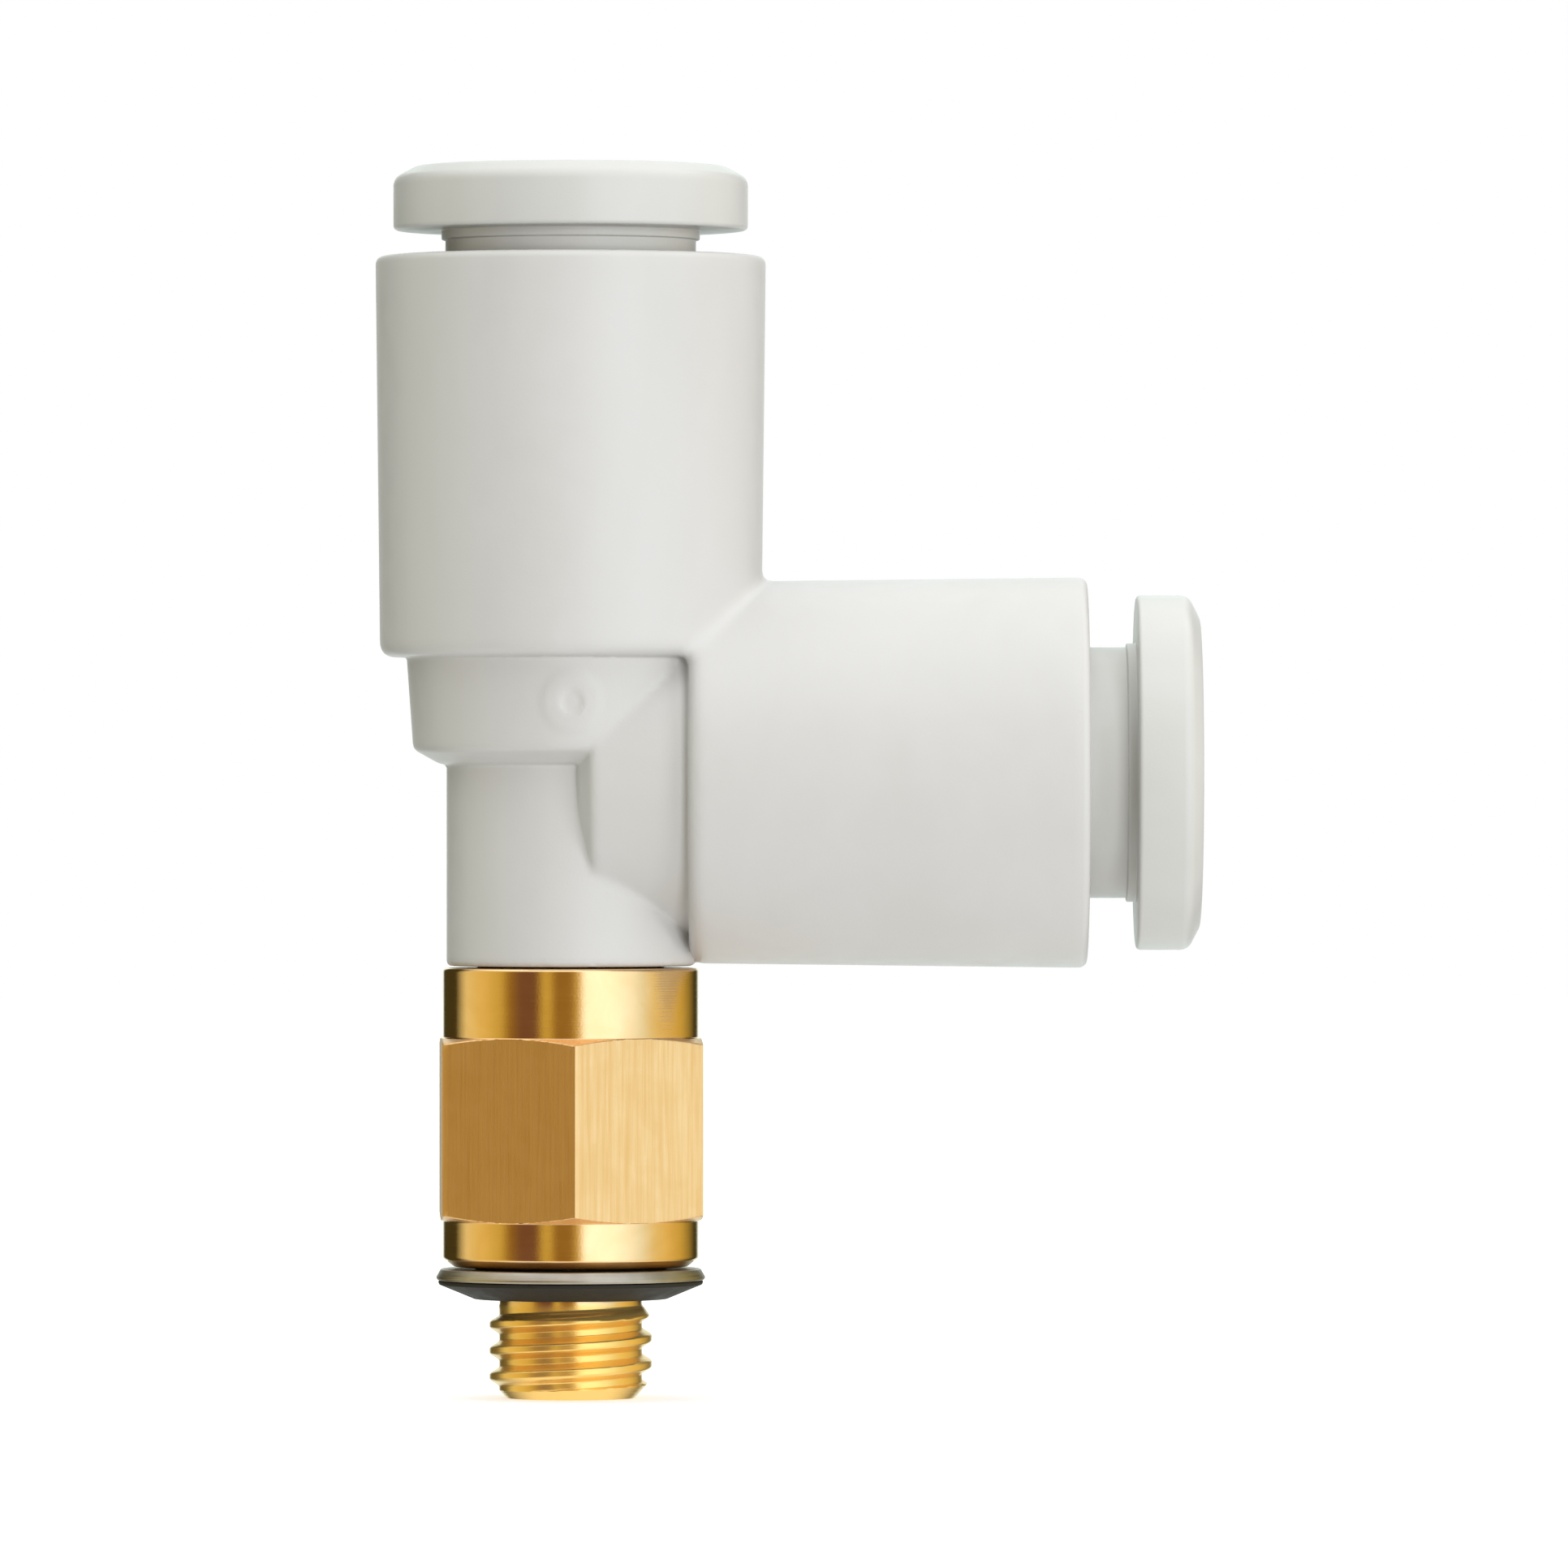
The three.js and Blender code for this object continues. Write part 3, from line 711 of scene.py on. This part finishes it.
def turned_brass():
    """Bright brass: lathe rings on round parts, drawn-bar streaks down the hexagon's flats."""
    shader = Shader("turned_brass")
    rings = shader.noise(1, 3, (0.4, 0.4, 26))
    streaks = shader.noise(1, 4, (9, 9, 0.3))
    above = shader.math("GREATER_THAN", shader.z, HEX_LOW_Z + 0.02)
    below = shader.math("LESS_THAN", shader.z, HEX_HIGH_Z - 0.02)
    on_hex = shader.math("MULTIPLY", above, below)
    tarnish = shader.noise(0.8, 5, distortion=0.8)
    colour = shader.blend(shader.between(tarnish, 0, 0.5), BRASS, BRASS_DEEP)
    streaked = shader.math("MULTIPLY", on_hex, shader.between(streaks, 0, 0.75, 0.35, 0.68))
    colour = shader.blend(streaked, colour, BRASS_DEEP)
    plain = shader.between(rings, 0.09, 0.15)
    brushed = shader.between(streaks, 0.34, 0.46)
    grooves = shader.mix(on_hex, rings, streaks)
    rough = shader.mix(on_hex, plain, brushed)
    normal = shader.bump(shader.noise(16, 2), 0.001, shader.bump(grooves, 0.004))
    # Painted light: the thread's colour is painted lighter and warmer, and its base made less metallic, to
    # stand for brighter light on the thread. Its rougher satin finish is real.
    on_thread = shader.between(shader.z, 1, 0, THREAD_TOP_Z - 0.1, THREAD_TOP_Z + 0.1)
    colour = shader.blend(shader.math("MULTIPLY", on_thread, 0.8), colour, BRASS_THREAD_PAINTED_LIGHT)
    rough = shader.math("MULTIPLY_ADD", on_thread, 0.12, rough)
    metallic = shader.between(on_thread, 1.0, 0.78, 0, 1)
    shader.set(Base_Color=colour, Metallic=metallic, Roughness=rough, Normal=normal)
    return shader.material


def bright_steel(name, colour, roughness):
    """Stamped or turned steel with fine rings round its axis."""
    shader = Shader(name)
    rings = shader.noise(1, 3, (0.5, 0.5, 30))
    cloud = shader.noise(1.1, 4)
    darker = tuple(c * 0.8 for c in colour)
    shader.set(Base_Color=shader.blend(shader.between(cloud, 0, 1), colour, darker), Metallic=1.0,
               Roughness=shader.between(rings, roughness - 0.05, roughness + 0.1),
               Normal=shader.bump(rings, 0.004))
    return shader.material


def black_rubber():
    """Matt nitrile with a dusty bloom and a fine moulded grain."""
    shader = Shader("black_rubber")
    bloom = shader.noise(1.6, 5)
    colour = shader.blend(shader.between(bloom, 0, 1), (0.010, 0.009, 0.007), (0.022, 0.020, 0.016))
    shader.set(Base_Color=colour, Roughness=shader.between(bloom, 0.55, 0.75), Specular_IOR_Level=0.3,
               Normal=shader.bump(shader.noise(14, 3), 0.01))
    return shader.material


# Assembly -------------------------------------------------------------------------------------------

def finish_piece(piece, body, node, material):
    piece.data.materials.clear()
    piece.data.materials.append(material)
    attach(piece, body)
    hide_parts(node)


body_resin = moulded_resin("body_resin", linear(214, 213, 212), linear(210, 209, 207), 0.38, parting=True)
button_resin = moulded_resin("button_resin", linear(213, 213, 211), linear(209, 209, 206), 0.34)
inner_resin = moulded_resin("inner_resin", linear(236, 233, 225), linear(226, 222, 210), 0.5)
brass = turned_brass()
stainless = bright_steel("stainless", (0.62, 0.64, 0.66), 0.28)
zinc = bright_steel("zinc_plated", (0.43, 0.40, 0.35), 0.36)
plated = bright_steel("plated_metal", (0.70, 0.68, 0.64), 0.22)
rubber = black_rubber()

finish_piece(make_body(), "tee_body", "body", body_resin)
finish_piece(make_stud(), "stud_body", "stud", brass)
finish_piece(make_clip(), "tee_body", "stud_retaining_clip", stainless)
finish_piece(make_o_ring(), "stud_body", "stud_o_ring", rubber)
finish_piece(make_gasket_washer(), "stud_body", "gasket_washer", zinc)
finish_piece(make_gasket_seal(), "stud_body", "gasket_seal", rubber)
for label, place in PORTS.items():
    finish_piece(make_tube_seal(label, place), "tee_body", f"{label}_tube_seal", rubber)
    finish_piece(make_spacer(label, place), "tee_body", f"{label}_seal_spacer", inner_resin)
    finish_piece(make_chuck(label, place), "tee_body", f"{label}_chuck", stainless)
    finish_piece(make_collet(label, place), "tee_body", f"{label}_collet", inner_resin)
    finish_piece(make_guide_ring(label, place), "tee_body", f"{label}_guide_ring", plated)
    finish_piece(make_button(label, place), f"{label}_button", f"{label}_release_button",
                 button_resin)


# Studio ---------------------------------------------------------------------------------------------

FLOOR_RADIUS = 0.8
GLOBE_RADIUS = 2.0


def stage_object(name, radius, build_shape):
    """A piece of the studio, of the shape that build_shape adds for a radius in metres."""
    mesh = bpy.data.meshes.new(name)
    build = bmesh.new()
    build_shape(build, radius)
    build.to_mesh(mesh)
    build.free()
    piece = bpy.data.objects.new(name, mesh)
    bpy.context.scene.collection.objects.link(piece)
    return piece


def make_floor():
    """A pale disc just under the thread's end. It neither lights the fitting nor shows in its reflections."""
    def add_disc(build, radius):
        bmesh.ops.create_circle(build, cap_ends=True, radius=radius, segments=96)

    floor = stage_object("floor", FLOOR_RADIUS, add_disc)
    floor.location.z = (THREAD_END_Z - 0.02) * MM
    floor.visible_glossy = False
    floor.visible_diffuse = False
    floor.visible_shadow = False
    shader = Shader("pale_floor")
    shader.set(Base_Color=(0.8, 0.8, 0.8, 1), Roughness=0.9, Specular_IOR_Level=0.0,
               Emission_Color=(1, 1, 1, 1), Emission_Strength=0.45)
    floor.data.materials.append(shader.material)


# What polished brass mirrors: a white ceiling, a white table, and softboxes and gaps round the horizon,
# each at its degrees right of the camera.
DARK = (0.06, 0.05, 0.016)
BROWN = (0.20, 0.10, 0.056)
UMBER = (0.34, 0.20, 0.04)
TAN = (0.70, 0.54, 0.12)
GOLD = (0.90, 0.72, 0.25)
CREAM = (0.92, 0.84, 0.45)
BRIGHT_WHITE = (1.6, 1.7, 1.76)
SOFT_WHITE = (1.03, 1.18, 1.15)
CEILING = (1.6, 1.6, 1.6)
TABLE = (1.2, 1.15, 1.05)
HORIZON = [
    (-180, SOFT_WHITE), (-166, SOFT_WHITE), (-158, DARK), (-125, DARK), (-108, CREAM), (-88, GOLD),
    (-66, TAN), (-56, UMBER), (-45, BROWN), (-31, BROWN), (-23, TAN), (-19, TAN), (-12, UMBER), (1, UMBER),
    (8, TAN), (14, BRIGHT_WHITE), (38, BRIGHT_WHITE), (66, SOFT_WHITE), (82, CREAM), (98, GOLD),
    (118, TAN), (148, DARK), (158, DARK), (166, SOFT_WHITE), (180, SOFT_WHITE),
]


def make_mirrored_studio():
    """A large globe that only mirror reflections see, in place of a studio's softboxes, ceiling and table."""
    def add_globe(build, radius):
        bmesh.ops.create_icosphere(build, subdivisions=5, radius=radius)

    globe = stage_object("mirrored_studio", GLOBE_RADIUS, add_globe)
    globe.visible_camera = False
    globe.visible_diffuse = False
    globe.visible_shadow = False
    globe.visible_transmission = False
    material = bpy.data.materials.new("mirrored_studio")
    material.use_nodes = True
    nodes = Nodes(material.node_tree)
    nodes.tree.nodes.clear()
    x, y, z = nodes.split(nodes.add("TexCoord").outputs["Object"])
    around = nodes.math("ARCTAN2", x, nodes.math("MULTIPLY", y, -1.0))
    ramp = nodes.add("ValToRGB")
    nodes.put(nodes.between(around, 0, 1, -math.pi, math.pi), ramp.inputs["Fac"])
    stops = ramp.color_ramp.elements
    for degrees, colour in HORIZON[1:-1]:
        stops.new(0.5 + degrees / 360)
    for stop, (degrees, colour) in zip(stops, HORIZON):
        stop.position = 0.5 + degrees / 360
        stop.color = (*colour, 1)
    upper = nodes.blend(nodes.between(z, 0, 1, 1.0, 1.6), ramp.outputs[0], CEILING)
    whole = nodes.blend(nodes.between(z, 1, 0, -1.7, -0.9), upper, TABLE)
    glow = nodes.add("Emission")
    nodes.put(whole, glow.inputs["Color"])
    nodes.put(glow.outputs[0], nodes.add("OutputMaterial").inputs["Surface"])
    globe.data.materials.append(material)


# Strength of the soft light from each direction.
LIGHT_FROM_RIGHT = 0.42
LIGHT_FROM_LEFT = 0.29
LIGHT_FROM_BEHIND = 0.6
LIGHT_FROM_ABOVE = 1.7
LIGHT_FROM_BELOW = 0.74


def make_world():
    """Soft light from all round, most of it from straight above, and plain white to the camera."""
    world = bpy.data.worlds.new("studio")
    bpy.context.scene.world = world
    world.use_nodes = True
    world.cycles_visibility.glossy = False
    nodes = Nodes(world.node_tree)
    back = nodes.tree.nodes["Background"]
    x, y, z = nodes.split(nodes.add("TexCoord").outputs["Generated"])
    above = nodes.math("MAXIMUM", z, 0.0)
    light = nodes.math("MULTIPLY", nodes.math("MULTIPLY", above, above), LIGHT_FROM_ABOVE)
    sides = [
        (x, 1.0, LIGHT_FROM_RIGHT),
        (x, -1.0, LIGHT_FROM_LEFT),
        (y, 1.0, LIGHT_FROM_BEHIND),
        (z, -1.0, LIGHT_FROM_BELOW),
    ]
    for axis, direction, strength in sides:
        towards = nodes.math("MAXIMUM", nodes.math("MULTIPLY", axis, direction), 0.0)
        light = nodes.math("MULTIPLY_ADD", towards, strength, light)
    tint = nodes.blend(nodes.between(x, 0, 1, -0.7, 0.5), (0.98, 1.0, 0.92), (1, 1, 1))
    seen = nodes.add("LightPath").outputs["Is Camera Ray"]
    nodes.put(nodes.blend(seen, tint, (1, 1, 1)), back.inputs["Color"])
    nodes.put(nodes.math("MAXIMUM", light, seen), back.inputs["Strength"])


SOFTBOX_SIZE = 0.12
SOFTBOX_DISTANCE = 0.42


def make_softbox(name, right_of_camera, height, watts):
    """A square softbox that faces the fitting, from degrees right of the camera and above the horizon."""
    light = bpy.data.lights.new(name, "AREA")
    light.size = SOFTBOX_SIZE
    light.energy = watts
    softbox = bpy.data.objects.new(name, light)
    bpy.context.scene.collection.objects.link(softbox)
    around = Matrix.Rotation(math.radians(right_of_camera), 3, "Z")
    up = Matrix.Rotation(math.radians(-height), 3, "X")
    away = around @ up @ Vector((0, -SOFTBOX_DISTANCE, 0))
    softbox.location = away + Vector((0, 0, CROSSING_Z * MM))
    softbox.rotation_euler = (-away).to_track_quat("-Z", "Y").to_euler()
    softbox.visible_glossy = False


# The camera, in millimetres. The picture is VIEW_WIDTH across at the fitting, and its middle is CAMERA_RIGHT
# of the run port's axis and CAMERA_DROP under the branch port's.
VIEW_WIDTH = 48.3
CAMERA_RIGHT = 6.57
CAMERA_DROP = 0.35
LENS = 320
SENSOR = 36


def make_camera():
    """Level and straight on to the plane of both ports, with a long lens."""
    camera = bpy.data.cameras.new("camera")
    camera.lens = LENS
    camera.sensor_width = SENSOR
    camera.clip_start, camera.clip_end = 0.01, 20
    rig = bpy.data.objects.new("camera", camera)
    bpy.context.scene.collection.objects.link(rig)
    away = VIEW_WIDTH / SENSOR * LENS
    rig.location = Vector((CAMERA_RIGHT, -away, CROSSING_Z - CAMERA_DROP)) * MM
    rig.rotation_euler = (math.radians(90), 0, 0)
    bpy.context.scene.camera = rig


make_floor()
make_world()
make_mirrored_studio()
make_softbox("key", 18, 2, 0.74)
make_softbox("side", 45, 4, 0.255)
make_camera()
bpy.context.scene.view_settings.view_transform = "Standard"
